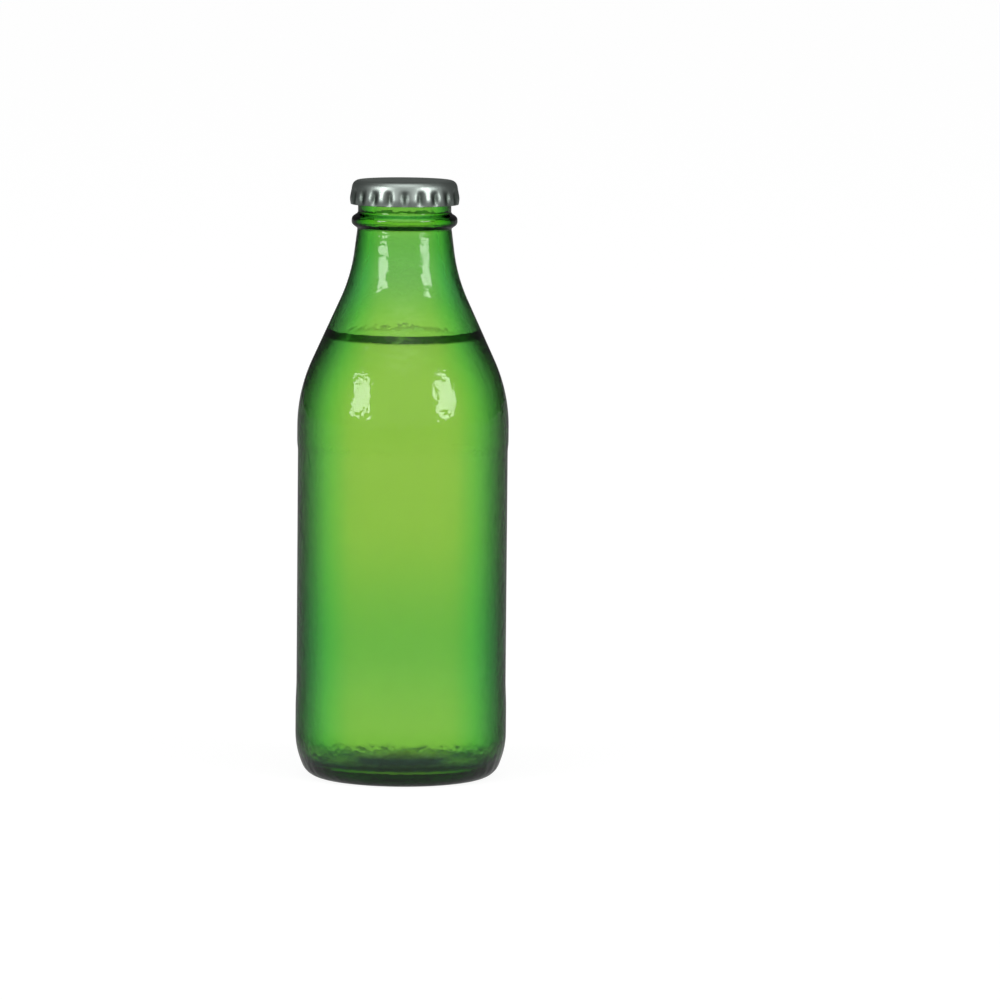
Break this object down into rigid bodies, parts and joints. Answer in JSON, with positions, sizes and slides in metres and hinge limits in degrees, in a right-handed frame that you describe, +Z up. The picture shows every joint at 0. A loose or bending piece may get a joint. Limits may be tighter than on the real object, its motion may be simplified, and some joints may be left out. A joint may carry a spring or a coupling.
{
  "type": "crown cap bottle",
  "caption": "Small green glass bottle with sloping shoulders and a short beaded neck, filled with a clear drink and closed with a crimped steel crown cap that lifts off.",
  "frame": {"origin": "centre of the base, on the table under the bearing ring", "axes": "+Z up the bottle's axis, from the base to the cap; -Y towards the picture's camera; the bottle is round, so X and Y are equivalent"},
  "size_m": [0.0553, 0.0552, 0.1565],
  "materials": {
    "green_glass": "smooth moulded soda-lime glass, mid green",
    "clear_drink": "clear liquid with a faint straw tint",
    "tinned_steel": "bright tinned steel under clear lacquer",
    "liner_compound": "soft moulded sealing compound"
  },
  "bodies": {
    "bottle": {"glass_bottle": "green_glass", "drink": "clear_drink"},
    "cap": {"cap_shell": "tinned_steel", "cap_liner": "liner_compound"}
  },
  "joints": [
    {"name": "cap_lift", "type": "slide", "parent": "bottle", "child": "cap", "axis": [0, 0, 1], "range_m": [0, 0.04]}
  ]
}
